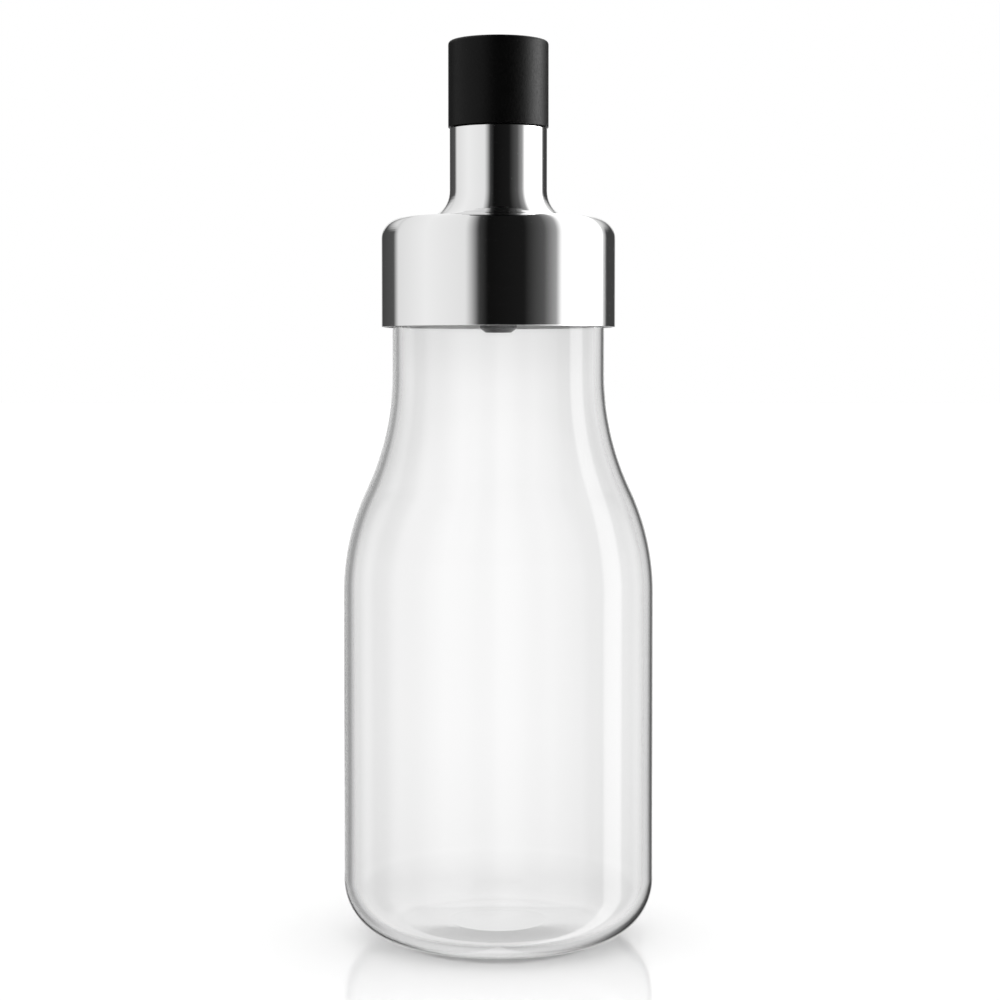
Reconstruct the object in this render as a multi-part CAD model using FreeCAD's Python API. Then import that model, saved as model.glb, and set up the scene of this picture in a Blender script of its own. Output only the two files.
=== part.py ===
"""Salad dressing shaker: a blown glass bottle, a push-in steel lid with a pouring spout, and a pull-off cap.

Millimetres, +Z up, origin on the bottle's axis, on the surface that it stands on.
Every piece is turned about that axis, apart from the webs inside the stopper.
"""
import FreeCAD, Part
import math
import os

# Glass bottle
BODY_RADIUS = 32.5
NECK_RADIUS = 22.2
GLASS_WALL = 2.0
FLOOR_THICKNESS = 2.2
BASE_CORNER = 12.2
INNER_CORNER = 10.2
KICK_UP_RADIUS = 10.2
KICK_UP_DEPTH = 0.18
FLOOR_CROWN = 0.7
STRAIGHT_HEIGHT = 72.4
SHOULDER_BEND = 50.5
NECK_BEND = 56.8
NECK_LENGTH = 26.6
RIM_ROUND = 0.6

# Lid, drawn from one steel sheet
SHEET = 0.8
SKIRT_GAP = 1.5
SKIRT_HEIGHT = 22.6
LID_CORNER = 4.2
FLARE_BEND = 5.9
SPOUT_RADIUS = 10.2
SPOUT_LENGTH = 18.8
CUT_EDGE_ROUND = 0.25

# Stopper that plugs the neck
FLANGE_THICKNESS = 3.6
FLANGE_CLEARANCE = 0.05
PLUG_GAP = 0.5
PLUG_WALL = 2.4
PLUG_FLOOR = 2.0
PLUG_INSET = 1.8
PLUG_NOSE_ROUND = 0.8
SOCKET_WALL = 1.6
SOCKET_HEIGHT = 6.0
WEB_COUNT = 6
WEB_THICKNESS = 1.2
WEB_HEIGHT_SHARE = 0.5

# Silicone seals of the stopper; a lip ring's place is a share of the plug's length, up from its nose
RIM_GASKET_THICKNESS = 1.2
RIM_GASKET_OVERHANG = 0.5
RIM_GASKET_CLEARANCE = 0.1
LIP_PLACE_SHARES = {"neck_seal_lower": 0.34, "neck_seal_upper": 0.72}
LIP_GROOVE_DEPTH = 1.1
LIP_HEIGHT = 3.2
LIP_SIDE_CLEARANCE = 0.1
LIP_NECK_CLEARANCE = 0.1
LIP_CREST_SHARE = 0.65
LIP_CREST_ROUND = 0.3

# Liner that carries the dressing from the inlet under the stopper to the spout's mouth
LINER_CLEARANCE = 0.1
LINER_WALL = 1.6
LINER_PROUD = 0.3
LINER_MOUTH_ROUND = 0.4
INLET_RADIUS = 3.9
INLET_BORE = 2.4
INLET_REACH = 2.9
INLET_CHAMFER_WIDTH = 1.2
INLET_CHAMFER_HEIGHT = 0.9
INLET_CLEARANCE = 0.1
FUNNEL_HEIGHT = 7.0
FUNNEL_FLOOR = 2.0
INLET_RING_THICKNESS = 2.0
INLET_RING_WIDTH = 3.0
LINER_RING_SECTION = 0.9
LINER_RING_PLACE_SHARE = 0.6
LINER_RING_CLEARANCE = 0.05
RING_GROOVE_SLACK = 0.2

# Cap: a silicone sleeve on a rigid core, whose plug closes the liner's mouth
CAP_OVERHANG = 0.3
CAP_HEIGHT = 18.0
CAP_EDGE_ROUND = 0.8
CAP_TOP_THICKNESS = 2.0
CAP_WALL = 1.7
CORE_CLEARANCE = 0.1
CORE_WALL = 1.5
CORE_FLOOR = 2.2
CORE_BEAD_DEPTH = 0.6
CORE_BEAD_HEIGHT = 2.4
CORE_BEAD_SLOPE = 0.5
CORE_BEAD_PLACE_SHARE = 0.5
CORE_PLUG_LENGTH = 8.0
CORE_PLUG_GAP = 0.25
CORE_PLUG_NOSE_ROUND = 0.6
CORE_PLUG_WALL = 2.6
CAP_RING_SECTION = 1.4
CAP_RING_PLACE_SHARE = 0.5
CAP_RING_CLEARANCE = 0.1

# Radii and heights that follow from those above
SHOULDER_TURN = math.acos(1 - (BODY_RADIUS - NECK_RADIUS) / (SHOULDER_BEND + NECK_BEND))
NECK_START = STRAIGHT_HEIGHT + (SHOULDER_BEND + NECK_BEND) * math.sin(SHOULDER_TURN)
RIM_TOP = NECK_START + NECK_LENGTH
BODY_BORE = BODY_RADIUS - GLASS_WALL
NECK_BORE = NECK_RADIUS - GLASS_WALL

FLANGE_BOTTOM = RIM_TOP + RIM_GASKET_THICKNESS
FLANGE_TOP = FLANGE_BOTTOM + FLANGE_THICKNESS
LID_TOP = FLANGE_TOP + FLANGE_CLEARANCE + SHEET
LID_BOTTOM = LID_TOP - SKIRT_HEIGHT
LID_BORE = NECK_RADIUS + SKIRT_GAP
LID_RADIUS = LID_BORE + SHEET
SPOUT_TOP = LID_TOP + SPOUT_LENGTH
SPOUT_BORE = SPOUT_RADIUS - SHEET

PLUG_RADIUS = NECK_BORE - PLUG_GAP
PLUG_HOLLOW_RADIUS = PLUG_RADIUS - PLUG_WALL
PLUG_NOSE = LID_BOTTOM + PLUG_INSET
PLUG_FLOOR_TOP = PLUG_NOSE + PLUG_FLOOR
PLUG_LENGTH = FLANGE_BOTTOM - PLUG_NOSE
LIP_GROOVE_RADIUS = PLUG_RADIUS - LIP_GROOVE_DEPTH

LINER_RADIUS = SPOUT_BORE - LINER_CLEARANCE
LINER_BORE = LINER_RADIUS - LINER_WALL
LINER_TOP = SPOUT_TOP + LINER_PROUD
LINER_FOOT = PLUG_FLOOR_TOP + INLET_RING_THICKNESS
FUNNEL_BOTTOM = LINER_FOOT + FUNNEL_FLOOR
FUNNEL_TOP = FUNNEL_BOTTOM + FUNNEL_HEIGHT
INLET_BOTTOM = PLUG_NOSE - INLET_REACH
INLET_HOLE_RADIUS = INLET_RADIUS + INLET_CLEARANCE
SOCKET_BORE = LINER_RADIUS + LINER_CLEARANCE
SOCKET_RADIUS = SOCKET_BORE + SOCKET_WALL
SOCKET_TOP = PLUG_FLOOR_TOP + SOCKET_HEIGHT
LINER_RING_RADIUS = SPOUT_BORE - LINER_RING_CLEARANCE - LINER_RING_SECTION
LINER_RING_MIDDLE = LID_TOP + LINER_RING_PLACE_SHARE * SPOUT_LENGTH

CAP_RADIUS = SPOUT_RADIUS + CAP_OVERHANG
CAP_BOTTOM = LINER_TOP
CAP_TOP = CAP_BOTTOM + CAP_HEIGHT
SLEEVE_BORE = CAP_RADIUS - CAP_WALL
SLEEVE_CEILING = CAP_TOP - CAP_TOP_THICKNESS
CORE_RADIUS = SLEEVE_BORE - CORE_CLEARANCE
CORE_TOP = SLEEVE_CEILING
CORE_BEAD_MIDDLE = CAP_BOTTOM + CORE_BEAD_PLACE_SHARE * (CORE_TOP - CAP_BOTTOM)
CORE_PLUG_RADIUS = LINER_BORE - CORE_PLUG_GAP
CORE_PLUG_NOSE = CAP_BOTTOM - CORE_PLUG_LENGTH
CAP_RING_RADIUS = LINER_BORE - CAP_RING_CLEARANCE - CAP_RING_SECTION
CAP_RING_MIDDLE = CORE_PLUG_NOSE + CAP_RING_PLACE_SHARE * CORE_PLUG_LENGTH

ORIGIN = FreeCAD.Vector(0, 0, 0)
AXIS = FreeCAD.Vector(0, 0, 1)
TOUCHING = 1e-6
QUARTER = math.pi / 2
HALF = math.pi


def point(radius, height):
    """Place in the section, which lies in the XZ plane."""
    return FreeCAD.Vector(radius, 0, height)


def line(start, end):
    return Part.LineSegment(start, end)


def arc_about(centre, bend, from_angle, to_angle):
    """Arc of a section from one angle to another about a centre."""
    places = []
    for angle in (from_angle, (from_angle + to_angle) / 2, to_angle):
        places.append(centre + point(bend * math.cos(angle), bend * math.sin(angle)))
    return Part.Arc(*places)


def dome_arc(edge, rise):
    """Arc of a shallow dome, from its edge to the axis, which it meets square and higher by the rise."""
    bend = (edge.x ** 2 + rise ** 2) / (2 * rise)
    centre = point(0, edge.z + rise - bend)
    return arc_about(centre, bend, QUARTER - math.asin(edge.x / bend), QUARTER)


def turned(edges):
    """Solid made by turning a closed chain of section edges once about the axis."""
    wire = Part.Wire([edge.toShape() for edge in edges])
    solid = Part.Face(wire).revolve(ORIGIN, AXIS, 360)
    return solid if solid.Volume > 0 else solid.reversed()


def rounded_chain(corners):
    """Closed chain of lines through (radius, height) corners. A third number is the round of that corner."""
    places = [point(corner[0], corner[1]) for corner in corners]
    starts, ends, arcs = [], [], []
    for index, here in enumerate(places):
        bend = corners[index][2] if len(corners[index]) > 2 else 0
        to_last = (places[index - 1] - here).normalize()
        to_next = (places[(index + 1) % len(places)] - here).normalize()
        half = to_last.getAngle(to_next) / 2
        trim = bend / math.tan(half)
        starts.append(here + to_last * trim)
        ends.append(here + to_next * trim)
        middle = here + (to_last + to_next).normalize() * (bend / math.sin(half) - bend) if bend else here
        arcs.append(Part.Arc(starts[index], middle, ends[index]) if bend else None)
    edges = []
    for index, arc in enumerate(arcs):
        if arc:
            edges.append(arc)
        following = starts[(index + 1) % len(places)]
        if (following - ends[index]).Length > TOUCHING:
            edges.append(line(ends[index], following))
    return edges


def lathed(corners):
    return turned(rounded_chain(corners))


def o_ring(inner_radius, section, middle):
    bend = section / 2
    return Part.makeTorus(inner_radius + bend, bend, point(0, middle))


def groove(bottom_radius, mouth_radius, width, middle):
    """Corners of a square groove cut into an upright outer wall, from its lower side to its upper side."""
    low, high = middle - width / 2, middle + width / 2
    return [(mouth_radius, low), (bottom_radius, low), (bottom_radius, high), (mouth_radius, high)]


def bead(radius, spread):
    """Corners of the locking bead on the cap's core; the spread opens it up into the sleeve's groove."""
    foot = CORE_BEAD_HEIGHT / 2 + spread
    crest = foot - CORE_BEAD_SLOPE
    crest_radius = radius + CORE_BEAD_DEPTH
    return [
        (radius, CORE_BEAD_MIDDLE - foot),
        (crest_radius, CORE_BEAD_MIDDLE - crest),
        (crest_radius, CORE_BEAD_MIDDLE + crest),
        (radius, CORE_BEAD_MIDDLE + foot),
    ]


def glass_bottle():
    """Blown bottle with an even wall: the inner bends of the shoulder share the outer ones' centres."""
    shoulder = point(BODY_RADIUS - SHOULDER_BEND, STRAIGHT_HEIGHT)
    neck = point(NECK_RADIUS + NECK_BEND, NECK_START)
    heel = point(BODY_RADIUS - BASE_CORNER, BASE_CORNER)
    inner_heel = point(BODY_BORE - INNER_CORNER, FLOOR_THICKNESS + INNER_CORNER)
    stand = point(KICK_UP_RADIUS, 0)
    floor_edge = point(inner_heel.x, FLOOR_THICKNESS)
    rim_side = RIM_TOP - RIM_ROUND
    outer_rim = point(NECK_RADIUS - RIM_ROUND, rim_side)
    inner_rim = point(NECK_BORE + RIM_ROUND, rim_side)
    turn = SHOULDER_TURN
    return turned([
        line(point(0, FLOOR_THICKNESS + FLOOR_CROWN), point(0, KICK_UP_DEPTH)),
        dome_arc(stand, KICK_UP_DEPTH),
        line(stand, point(heel.x, 0)),
        arc_about(heel, BASE_CORNER, -QUARTER, 0),
        line(point(BODY_RADIUS, heel.z), point(BODY_RADIUS, STRAIGHT_HEIGHT)),
        arc_about(shoulder, SHOULDER_BEND, 0, turn),
        arc_about(neck, NECK_BEND, HALF + turn, HALF),
        line(point(NECK_RADIUS, NECK_START), point(NECK_RADIUS, rim_side)),
        arc_about(outer_rim, RIM_ROUND, 0, QUARTER),
        line(point(outer_rim.x, RIM_TOP), point(inner_rim.x, RIM_TOP)),
        arc_about(inner_rim, RIM_ROUND, QUARTER, HALF),
        line(point(NECK_BORE, rim_side), point(NECK_BORE, NECK_START)),
        arc_about(neck, NECK_BEND + GLASS_WALL, HALF, HALF + turn),
        arc_about(shoulder, SHOULDER_BEND - GLASS_WALL, turn, 0),
        line(point(BODY_BORE, STRAIGHT_HEIGHT), point(BODY_BORE, inner_heel.z)),
        arc_about(inner_heel, INNER_CORNER, 0, -QUARTER),
        dome_arc(floor_edge, FLOOR_CROWN),
    ])


def lid_shell():
    """Skirt, top and spout in one even sheet: each inner bend is the outer one less or plus the sheet."""
    return lathed([
        (LID_RADIUS, LID_BOTTOM, CUT_EDGE_ROUND),
        (LID_RADIUS, LID_TOP, LID_CORNER),
        (SPOUT_RADIUS, LID_TOP, FLARE_BEND),
        (SPOUT_RADIUS, SPOUT_TOP, CUT_EDGE_ROUND),
        (SPOUT_BORE, SPOUT_TOP, CUT_EDGE_ROUND),
        (SPOUT_BORE, LID_TOP - SHEET, FLARE_BEND + SHEET),
        (LID_BORE, LID_TOP - SHEET, LID_CORNER - SHEET),
        (LID_BORE, LID_BOTTOM, CUT_EDGE_ROUND),
    ])


def lip_middle(name):
    return PLUG_NOSE + LIP_PLACE_SHARES[name] * PLUG_LENGTH


def stopper_body():
    """Cup-shaped plug: its flange fills the lid's corner, and webs tie the liner's socket to its wall."""
    groove_width = LIP_HEIGHT + LIP_SIDE_CLEARANCE + LIP_SIDE_CLEARANCE
    flange_radius = LID_BORE - FLANGE_CLEARANCE
    corners = [(INLET_HOLE_RADIUS, PLUG_NOSE), (PLUG_RADIUS, PLUG_NOSE, PLUG_NOSE_ROUND)]
    for name in LIP_PLACE_SHARES:
        corners += groove(LIP_GROOVE_RADIUS, PLUG_RADIUS, groove_width, lip_middle(name))
    corners += [
        (PLUG_RADIUS, FLANGE_BOTTOM),
        (flange_radius, FLANGE_BOTTOM),
        (flange_radius, FLANGE_TOP),
        (PLUG_HOLLOW_RADIUS, FLANGE_TOP),
        (PLUG_HOLLOW_RADIUS, PLUG_FLOOR_TOP),
        (SOCKET_RADIUS, PLUG_FLOOR_TOP),
        (SOCKET_RADIUS, SOCKET_TOP),
        (SOCKET_BORE, SOCKET_TOP),
        (SOCKET_BORE, PLUG_FLOOR_TOP),
        (INLET_HOLE_RADIUS, PLUG_FLOOR_TOP),
    ]
    lid_inside = lathed([
        (0, LID_BOTTOM),
        (flange_radius, LID_BOTTOM),
        (flange_radius, FLANGE_TOP, LID_CORNER - SHEET - FLANGE_CLEARANCE),
        (0, FLANGE_TOP),
    ])
    cup = lathed(corners).common(lid_inside)

    web_height = WEB_HEIGHT_SHARE * (FLANGE_TOP - PLUG_FLOOR_TOP)
    web_start = SOCKET_RADIUS - SOCKET_WALL / 2
    web_end = PLUG_HOLLOW_RADIUS + PLUG_WALL / 4
    web = Part.makeBox(web_end - web_start, WEB_THICKNESS, web_height)
    web.translate(FreeCAD.Vector(web_start, -WEB_THICKNESS / 2, PLUG_FLOOR_TOP))
    webs = []
    for index in range(WEB_COUNT):
        turned_web = web.copy()
        turned_web.rotate(ORIGIN, AXIS, 360 * index / WEB_COUNT)
        webs.append(turned_web)
    return cup.fuse(webs).removeSplitter()


def rim_gasket():
    inner = PLUG_RADIUS + RIM_GASKET_CLEARANCE
    outer = NECK_RADIUS + RIM_GASKET_OVERHANG
    return lathed([(inner, RIM_TOP), (outer, RIM_TOP), (outer, FLANGE_BOTTOM), (inner, FLANGE_BOTTOM)])


def neck_seal(name):
    """Lip ring: a square foot in the plug's groove and a lip that leans up towards the neck's wall."""
    low = lip_middle(name) - LIP_HEIGHT / 2
    crest = NECK_BORE - LIP_NECK_CLEARANCE
    return lathed([
        (LIP_GROOVE_RADIUS, low),
        (PLUG_RADIUS, low),
        (crest, low + LIP_CREST_SHARE * LIP_HEIGHT, LIP_CREST_ROUND),
        (PLUG_RADIUS, low + LIP_HEIGHT),
        (LIP_GROOVE_RADIUS, low + LIP_HEIGHT),
    ])


def pour_liner():
    """Tube that lines the spout. A funnel narrows it to the inlet, whose chamfered end stands under the plug."""
    groove_width = LINER_RING_SECTION + RING_GROOVE_SLACK
    corners = [
        (INLET_BORE, INLET_BOTTOM),
        (INLET_RADIUS - INLET_CHAMFER_WIDTH, INLET_BOTTOM),
        (INLET_RADIUS, INLET_BOTTOM + INLET_CHAMFER_HEIGHT),
        (INLET_RADIUS, LINER_FOOT),
        (LINER_RADIUS, LINER_FOOT),
    ]
    corners += groove(LINER_RING_RADIUS, LINER_RADIUS, groove_width, LINER_RING_MIDDLE)
    corners += [
        (LINER_RADIUS, LINER_TOP),
        (LINER_BORE, LINER_TOP, LINER_MOUTH_ROUND),
        (LINER_BORE, FUNNEL_TOP),
        (INLET_BORE, FUNNEL_BOTTOM),
    ]
    return lathed(corners)


def inlet_ring():
    """Silicone washer that the liner's foot presses onto the plug's floor."""
    outer = INLET_HOLE_RADIUS + INLET_RING_WIDTH
    return lathed([
        (INLET_HOLE_RADIUS, PLUG_FLOOR_TOP),
        (outer, PLUG_FLOOR_TOP),
        (outer, LINER_FOOT),
        (INLET_HOLE_RADIUS, LINER_FOOT),
    ])


def cap_core():
    """Moulded cup with a plug below its shoulder and a bead that holds the sleeve."""
    groove_width = CAP_RING_SECTION + RING_GROOVE_SLACK
    plug_hollow = CORE_PLUG_RADIUS - CORE_PLUG_WALL
    shoulder_top = CAP_BOTTOM + CORE_FLOOR
    corners = [(0, CORE_PLUG_NOSE), (CORE_PLUG_RADIUS, CORE_PLUG_NOSE, CORE_PLUG_NOSE_ROUND)]
    corners += groove(CAP_RING_RADIUS, CORE_PLUG_RADIUS, groove_width, CAP_RING_MIDDLE)
    corners += [(CORE_PLUG_RADIUS, CAP_BOTTOM), (CORE_RADIUS, CAP_BOTTOM)]
    corners += bead(CORE_RADIUS, 0)
    corners += [
        (CORE_RADIUS, CORE_TOP),
        (CORE_RADIUS - CORE_WALL, CORE_TOP),
        (CORE_RADIUS - CORE_WALL, shoulder_top),
        (plug_hollow, shoulder_top),
        (plug_hollow, CORE_PLUG_NOSE + CORE_FLOOR),
        (0, CORE_PLUG_NOSE + CORE_FLOOR),
    ]
    return lathed(corners)


def cap_sleeve():
    """Silicone cup over the core, with a groove inside for the core's bead."""
    groove_corners = bead(SLEEVE_BORE, CORE_CLEARANCE)
    corners = [
        (SLEEVE_BORE, CAP_BOTTOM),
        (CAP_RADIUS, CAP_BOTTOM, CUT_EDGE_ROUND),
        (CAP_RADIUS, CAP_TOP, CAP_EDGE_ROUND),
        (0, CAP_TOP),
        (0, SLEEVE_CEILING),
        (SLEEVE_BORE, SLEEVE_CEILING),
    ]
    return lathed(corners + groove_corners[::-1])


PIECES = {
    "glass_bottle": glass_bottle(),
    "lid_shell": lid_shell(),
    "stopper_body": stopper_body(),
    "rim_gasket": rim_gasket(),
    "pour_liner": pour_liner(),
    "liner_ring": o_ring(LINER_RING_RADIUS, LINER_RING_SECTION, LINER_RING_MIDDLE),
    "inlet_ring": inlet_ring(),
    "cap_core": cap_core(),
    "cap_sleeve": cap_sleeve(),
    "cap_ring": o_ring(CAP_RING_RADIUS, CAP_RING_SECTION, CAP_RING_MIDDLE),
}
for seal in LIP_PLACE_SHARES:
    PIECES[seal] = neck_seal(seal)

os.makedirs("parts", exist_ok=True)
for name, shape in PIECES.items():
    shape.exportStep("parts/" + name + ".step")
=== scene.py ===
"""Looks of the salad dressing shaker: blown glass, polished steel, matte silicone, moulded plastics."""
import math

import bmesh
import bpy
from mathutils import Matrix, Vector


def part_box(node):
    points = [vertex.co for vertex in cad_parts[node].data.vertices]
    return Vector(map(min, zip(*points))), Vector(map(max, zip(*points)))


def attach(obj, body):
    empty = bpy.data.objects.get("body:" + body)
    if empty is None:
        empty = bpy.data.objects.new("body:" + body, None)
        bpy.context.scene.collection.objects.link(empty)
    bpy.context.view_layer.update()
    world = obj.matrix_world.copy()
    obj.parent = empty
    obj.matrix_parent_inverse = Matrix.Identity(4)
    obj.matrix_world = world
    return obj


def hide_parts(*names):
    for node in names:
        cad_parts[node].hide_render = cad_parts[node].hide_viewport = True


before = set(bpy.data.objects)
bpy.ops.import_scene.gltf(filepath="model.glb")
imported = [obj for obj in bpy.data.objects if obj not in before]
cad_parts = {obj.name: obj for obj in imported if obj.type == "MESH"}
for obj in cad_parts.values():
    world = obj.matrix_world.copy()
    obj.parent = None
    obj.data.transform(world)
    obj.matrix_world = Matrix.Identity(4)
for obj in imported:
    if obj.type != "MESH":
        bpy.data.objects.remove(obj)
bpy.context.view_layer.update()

MM = 0.001
QUARTER = math.pi / 2
HALF = math.pi

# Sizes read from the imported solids
GLASS_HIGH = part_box("glass_bottle")[1]
LID_LOW, LID_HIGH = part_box("lid_shell")
STOPPER_LOW, STOPPER_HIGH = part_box("stopper_body")
GASKET_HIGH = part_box("rim_gasket")[1]
LINER_LOW, LINER_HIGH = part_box("pour_liner")
WASHER_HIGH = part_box("inlet_ring")[1]
CAP_LOW, CAP_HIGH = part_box("cap_sleeve")
CORE_LOW, CORE_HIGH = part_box("cap_core")

# Glass bottle
NECK_RADIUS = 22.2 * MM
GLASS_WALL = 2.0 * MM
FLOOR_THICKNESS = 2.2 * MM
BASE_CORNER = 12.2 * MM
INNER_CORNER = 10.2 * MM
KICK_UP_RADIUS = 10.2 * MM
KICK_UP_DEPTH = 0.18 * MM
FLOOR_CROWN = 0.7 * MM
STRAIGHT_HEIGHT = 72.4 * MM
SHOULDER_BEND = 50.5 * MM
NECK_BEND = 56.8 * MM
RIM_ROUND = 0.6 * MM

# Steel lid
SHEET = 0.8 * MM
SKIRT_HEIGHT = 22.6 * MM
LID_CORNER = 4.2 * MM
FLARE_BEND = 5.9 * MM
SPOUT_RADIUS = 10.2 * MM
CUT_EDGE_ROUND = 0.1 * MM

# Stopper and its seals
PLUG_RADIUS = 19.7 * MM
PLUG_WALL = 2.4 * MM
PLUG_FLOOR = 2.0 * MM
PLUG_NOSE_ROUND = 0.8 * MM
SOCKET_BORE = 9.4 * MM
SOCKET_WALL = 1.6 * MM
SOCKET_HEIGHT = 6.0 * MM
WEB_COUNT = 6
WEB_THICKNESS = 1.2 * MM
WEB_HEIGHT_SHARE = 0.5
GASKET_CLEARANCE = 0.1 * MM
LIP_GROOVE_DEPTH = 1.1 * MM
LIP_SIDE_CLEARANCE = 0.1 * MM
LIP_CREST_SHARE = 0.65
LIP_CREST_ROUND = 0.3 * MM

# Pouring liner
INLET_RADIUS = 3.9 * MM
INLET_BORE = 2.4 * MM
INLET_CHAMFER_WIDTH = 1.2 * MM
INLET_CHAMFER_HEIGHT = 0.9 * MM
INLET_CLEARANCE = 0.1 * MM
LINER_WALL = 1.6 * MM
LINER_MOUTH_ROUND = 0.4 * MM
FUNNEL_FLOOR = 2.0 * MM
FUNNEL_HEIGHT = 7.0 * MM

# Cap
CAP_EDGE_ROUND = 0.8 * MM
CAP_WALL = 1.7 * MM
CAP_TOP_THICKNESS = 2.0 * MM
CORE_WALL = 1.5 * MM
CORE_FLOOR = 2.2 * MM
CORE_CLEARANCE = 0.1 * MM
CORE_PLUG_RADIUS = 7.45 * MM
CORE_PLUG_WALL = 2.6 * MM
CORE_PLUG_NOSE_ROUND = 0.6 * MM
RING_GROOVE_SLACK = 0.2 * MM

# Small rounds that every moulded edge has, and how finely a section is drawn
MOULD_EDGE = 0.12 * MM
MOULD_EDGE_STEPS = 2
ARC_STEP = math.radians(7)
ARC_FEWEST_STEPS = 3
GLASS_STEP = 0.4 * MM
DOME_STEP = 2 * GLASS_STEP
SUPPORT_SHARE = 0.2
SUPPORT_REACH = 0.4 * MM
SEAM_GAP = 0.0005 * MM
FINE_SEGMENTS = 192
SMALL_SEGMENTS = 128

# Finishes. The mop's rings are drawn coarser than real ones, so that they show
GLASS_IOR = 1.47
GLASS_WAVE = 24 * MM
GLASS_WAVE_STRETCH = (1.0, 1.0, 0.45)
GLASS_WAVE_DEPTH = 0.35 * MM
GLASS_WAVE_STRENGTH = 0.12
MOP_RING = 0.35 * MM
MOP_RING_STRETCH = (0.05, 0.05, 1.0)
MOP_RING_DEPTH = 0.02 * MM
MOP_RING_STRENGTH = 0.02
SMEAR = 9 * MM
SMEAR_SHARE = 0.5
MIRROR_ROUGHNESS = (0.045, 0.085)
SATIN_ROUGHNESS = 0.55
SKIN_STRENGTH = 0.35
BLOOM_PER_GRAIN = 16
NOISE_SPAN = (0.3, 0.7)

# Table top, and a painted shade under the bottle: a glowing grey sheet that only shows through the bottle's
# floor
FLOOR_REACH = 8000 * MM
FLOOR_DROP = 0.05 * MM
FLOOR_ROUGHNESS = 0.1
FLOOR_IOR = 1.4
FLOOR_GLOSS = (0.5, 0.0)
FLOOR_GLOSS_EDGE = (38 * MM, 130 * MM)
SHADE_DROP = 0.1 * MM
SHADE_SEGMENTS = 96
SHADE_EDGE = (18 * MM, 31 * MM)
# Glow of the painted shade
SHADE_LEVEL = 0.82

# Light: the white behind the object, the even light on matte skins, and the brightest level of the lists below
BACKDROP_WHITE = 1.0
MATTE_LIGHT = 1.31
BRIGHTEST = 2.0

# Room that mirrors see, in degrees from the camera's side round to the right: a dark camera side, a panel to
# the left, a lamp to the right and dark flags behind
ROOM_REACH = 180
ROOM_LEVELS = (
    (-180, 0.95), (-168, 0.9), (-161, 0.06), (-124, 0.1), (-115, 0.9), (-75, 1.06), (-32, 0.95),
    (-19, 0.06), (-10, 0.006), (25, 0.012), (45, 0.11), (58, 0.42), (64, 1.3), (86, 2.0), (112, 1.3),
    (124, 0.9), (132, 0.06), (161, 0.06), (168, 0.9), (180, 0.95),
)
FLAG_TOP = (math.radians(12), math.radians(28))
FLAG_SIDE = (math.radians(108), math.radians(124))
OVER_FLAGS = 0.85
BACK_EDGE = (0.925, 0.965)
BACK_FOOT = (math.radians(6), math.radians(10))
BACK_LEVEL = 1.0
BACK_IN_GLASS = 0.5
LAMP_TURN = math.radians(97)
LAMP_EDGE = (math.radians(6), math.radians(29))
LAMP_TOP = (math.radians(18), math.radians(40))
LAMP_LEVEL = 6.5

# What clear glass mirrors in place of the lamp: a narrow strip light to the right and a soft fill round the
# camera
STRIP_TURN = math.radians(93)
STRIP_EDGE = (math.radians(7), math.radians(12))
STRIP_END = (0.5, 0.8)
STRIP_LEVEL = 2.0
STRIP_ROOM = 0.95
FILL_EDGE = (math.radians(50), math.radians(100))
FILL_LEVEL = 0.75

# What shows through the glass: a glow that follows the height and is brightest once every eighth of a turn,
# and for light that was turned back inside a wall a dark and a light post each quarter turn, so that the walls
# show as lines from every side
GLOW_REACH = 75
GLOW_LEVELS = (
    (-75, 0.22), (-62, 0.45), (-50, 0.74), (-36, 0.86), (-24, 0.88), (-14.5, 0.84), (-12, 0.92),
    (-9, 0.965), (-4, 0.97), (-1.5, 0.95), (-0.2, 0.9), (1, 0.8), (3, 0.78), (12, 0.84), (75, 0.86),
)
GLOW_STEP = math.radians(45)
GLOW_OFFSET = math.radians(0.5)
GLOW_MIDDLE = (math.radians(0.5), math.radians(7))
GLOW_MIDDLE_LEVELS = (1.025, 0.88)
POST_REACH = 45
POST_LEVELS = (
    (-45, 0.85), (-28, 0.85), (-23, 0.66), (-20, 0.4), (-17, 0.2), (-10, 0.18), (-4, 0.34), (0, 0.8),
    (4, 1.1), (12, 1.05), (17, 0.8), (21, 0.56), (26, 0.4), (31, 0.44), (36, 0.7), (45, 0.85),
)
POST_FOOT = (math.radians(-42), math.radians(-27))
POST_FOOT_SHARE = 0.1
WALL_CROSSINGS = 3

# Camera that gives the photograph's view
CAMERA_DISTANCE = 480 * MM
CAMERA_HEIGHT = 118.54 * MM
CAMERA_TILT = math.radians(1.909)
CAMERA_LENS = 82.27
CAMERA_SHIFT_X = 0.0016
CAMERA_SHIFT_Y = -0.0517
CAMERA_CLIP = 10 * MM

# Sockets of a Mix node by number: its two values, its two colours and the colour that it gives
MIX_A, MIX_B = 2, 3
COLOUR_A, COLOUR_B = 6, 7
COLOUR_OUT = 2

# Setting of a Map Range node that eases in and out
SOFT = {"interpolation_type": "SMOOTHSTEP"}


def add(tree, kind, inputs=None, **settings):
    """Adds a node with its settings. An input is a value, or the node or socket that it is linked from."""
    made = tree.nodes.new(kind)
    for name, value in settings.items():
        setattr(made, name, value)
    for name, value in (inputs or {}).items():
        if isinstance(value, bpy.types.Node):
            value = value.outputs[0]
        if isinstance(value, bpy.types.NodeSocket):
            tree.links.new(value, made.inputs[name])
        else:
            made.inputs[name].default_value = value
    return made


def linear(hex_colour):
    """An sRGB hex colour as linear RGBA."""
    channels = []
    for start in (1, 3, 5):
        value = int(hex_colour[start:start + 2], 16) / 255
        channels.append(value / 12.92 if value <= 0.04045 else ((value + 0.055) / 1.055) ** 2.4)
    return (*channels, 1.0)


def per_metre(size):
    """Texture scale that gives features of that size."""
    return 1 / size


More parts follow.
